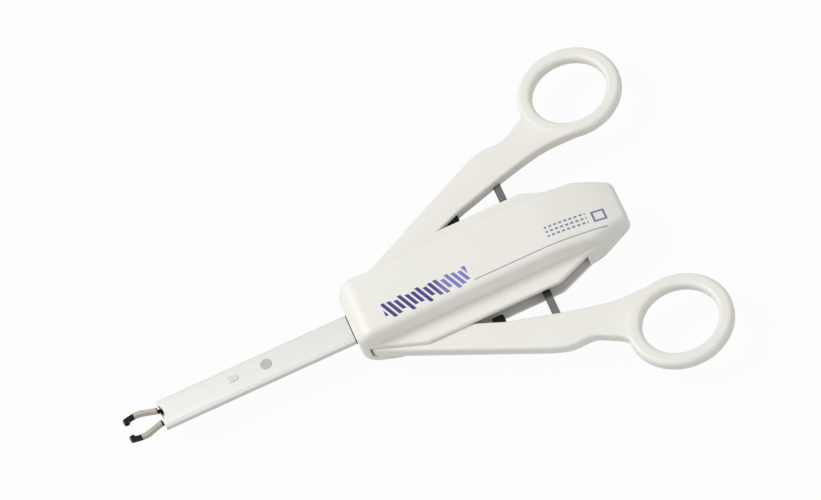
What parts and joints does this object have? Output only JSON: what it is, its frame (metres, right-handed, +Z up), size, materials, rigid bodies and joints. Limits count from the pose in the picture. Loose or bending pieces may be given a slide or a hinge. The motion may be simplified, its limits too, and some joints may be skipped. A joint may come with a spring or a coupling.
{
  "type": "ligating clip applier",
  "caption": "Hand-held clip applier: two finger-ring handles on a two-shell housing drive a slide that closes a pair of jaws at the end of a flat steel shaft.",
  "frame": {"origin": "centre of the flat underside of the housing, on which it rests", "axes": "+X towards the jaws, +Y to the user's left, +Z up"},
  "size_m": [0.2367, 0.167, 0.0244],
  "materials": {
    "shell_plastic": "moulded, satin",
    "handle_plastic": "moulded, satin",
    "shaft_steel": "satin, drawn lengthways",
    "jaw_steel": "satin with blackened tips",
    "arm_steel": "dark, stamped",
    "pin_steel": "ground",
    "spring_steel": "drawn wire",
    "slide_plastic": "moulded",
    "inner_steel": "stamped sheet",
    "clip_metal": "drawn wire, as titanium"
  },
  "bodies": {
    "housing": {"upper_housing": "shell_plastic", "lower_housing": "shell_plastic", "left_pivot_pin": "pin_steel", "right_pivot_pin": "pin_steel", "guide_rod": "pin_steel", "return_spring": "spring_steel", "pinion_pin": "pin_steel", "shaft_channel": "shaft_steel", "shaft_cover": "shaft_steel", "jaw_base": "inner_steel", "jaw_pins": "pin_steel", "clip_track": "inner_steel", "track_pin": "pin_steel", "follower_spring": "spring_steel"},
    "left_handle_body": {"left_handle": "handle_plastic", "left_drive_arm": "arm_steel", "left_arm_rivets": "pin_steel", "left_cam_pin": "pin_steel", "left_stop_tab": "arm_steel"},
    "right_handle_body": {"right_handle": "handle_plastic", "right_drive_arm": "arm_steel", "right_arm_rivets": "pin_steel", "right_cam_pin": "pin_steel", "right_stop_tab": "arm_steel"},
    "drive": {"drive_slide": "slide_plastic", "cam_channel": "inner_steel", "channel_pin": "pin_steel"},
    "left_jaw_body": {"left_jaw": "jaw_steel"},
    "right_jaw_body": {"right_jaw": "jaw_steel"},
    "feed": {"feed_bar": "inner_steel"},
    "pinion": {"feed_pinion": "slide_plastic"},
    "clip_train": {"clip_stack": "clip_metal", "clip_follower": "slide_plastic"}
  },
  "joints": [
    {"name": "left_handle_squeeze", "type": "hinge", "parent": "housing", "child": "left_handle_body", "pos_m": [0.035, 0.012, 0.0122], "axis": [0, 0, 1], "range_deg": [0, 14], "stiffness_Nm_per_rad": 0.8, "springref_deg": -6.88},
    {"name": "right_handle_squeeze", "type": "hinge", "parent": "housing", "child": "right_handle_body", "pos_m": [0.035, -0.012, 0.0122], "axis": [0, 0, -1], "range_deg": [0, 14]},
    {"name": "drive_travel", "type": "slide", "parent": "housing", "child": "drive", "axis": [1, 0, 0], "range_m": [0, 0.008], "deforming": ["return_spring"]},
    {"name": "left_jaw_close", "type": "hinge", "parent": "housing", "child": "left_jaw_body", "pos_m": [0.108, 0.002, 0.0122], "axis": [0, 0, -1], "range_deg": [0, 5.4]},
    {"name": "right_jaw_close", "type": "hinge", "parent": "housing", "child": "right_jaw_body", "pos_m": [0.108, -0.002, 0.0122], "axis": [0, 0, 1], "range_deg": [0, 5.4]},
    {"name": "feed_travel", "type": "slide", "parent": "housing", "child": "feed", "axis": [-1, 0, 0], "range_m": [0, 0.008]},
    {"name": "pinion_turn", "type": "hinge", "parent": "housing", "child": "pinion", "pos_m": [-0.006, 0, 0.0182], "axis": [0, 0, -1], "range_deg": [0, 76.5]},
    {"name": "clip_advance", "type": "slide", "parent": "housing", "child": "clip_train", "axis": [1, 0, 0], "range_m": [0, 0.005], "deforming": ["follower_spring"]}
  ],
  "couplings": [
    {"joint": "right_handle_squeeze", "follows": "left_handle_squeeze", "ratio": 1},
    {"joint": "drive_travel", "follows": "left_handle_squeeze", "m_per_rad": 0.03274},
    {"joint": "feed_travel", "follows": "left_handle_squeeze", "m_per_rad": 0.03274},
    {"joint": "left_jaw_close", "follows": "left_handle_squeeze", "ratio": 0.38571},
    {"joint": "right_jaw_close", "follows": "left_handle_squeeze", "ratio": 0.38571},
    {"joint": "pinion_turn", "follows": "left_handle_squeeze", "ratio": 5.4567}
  ]
}
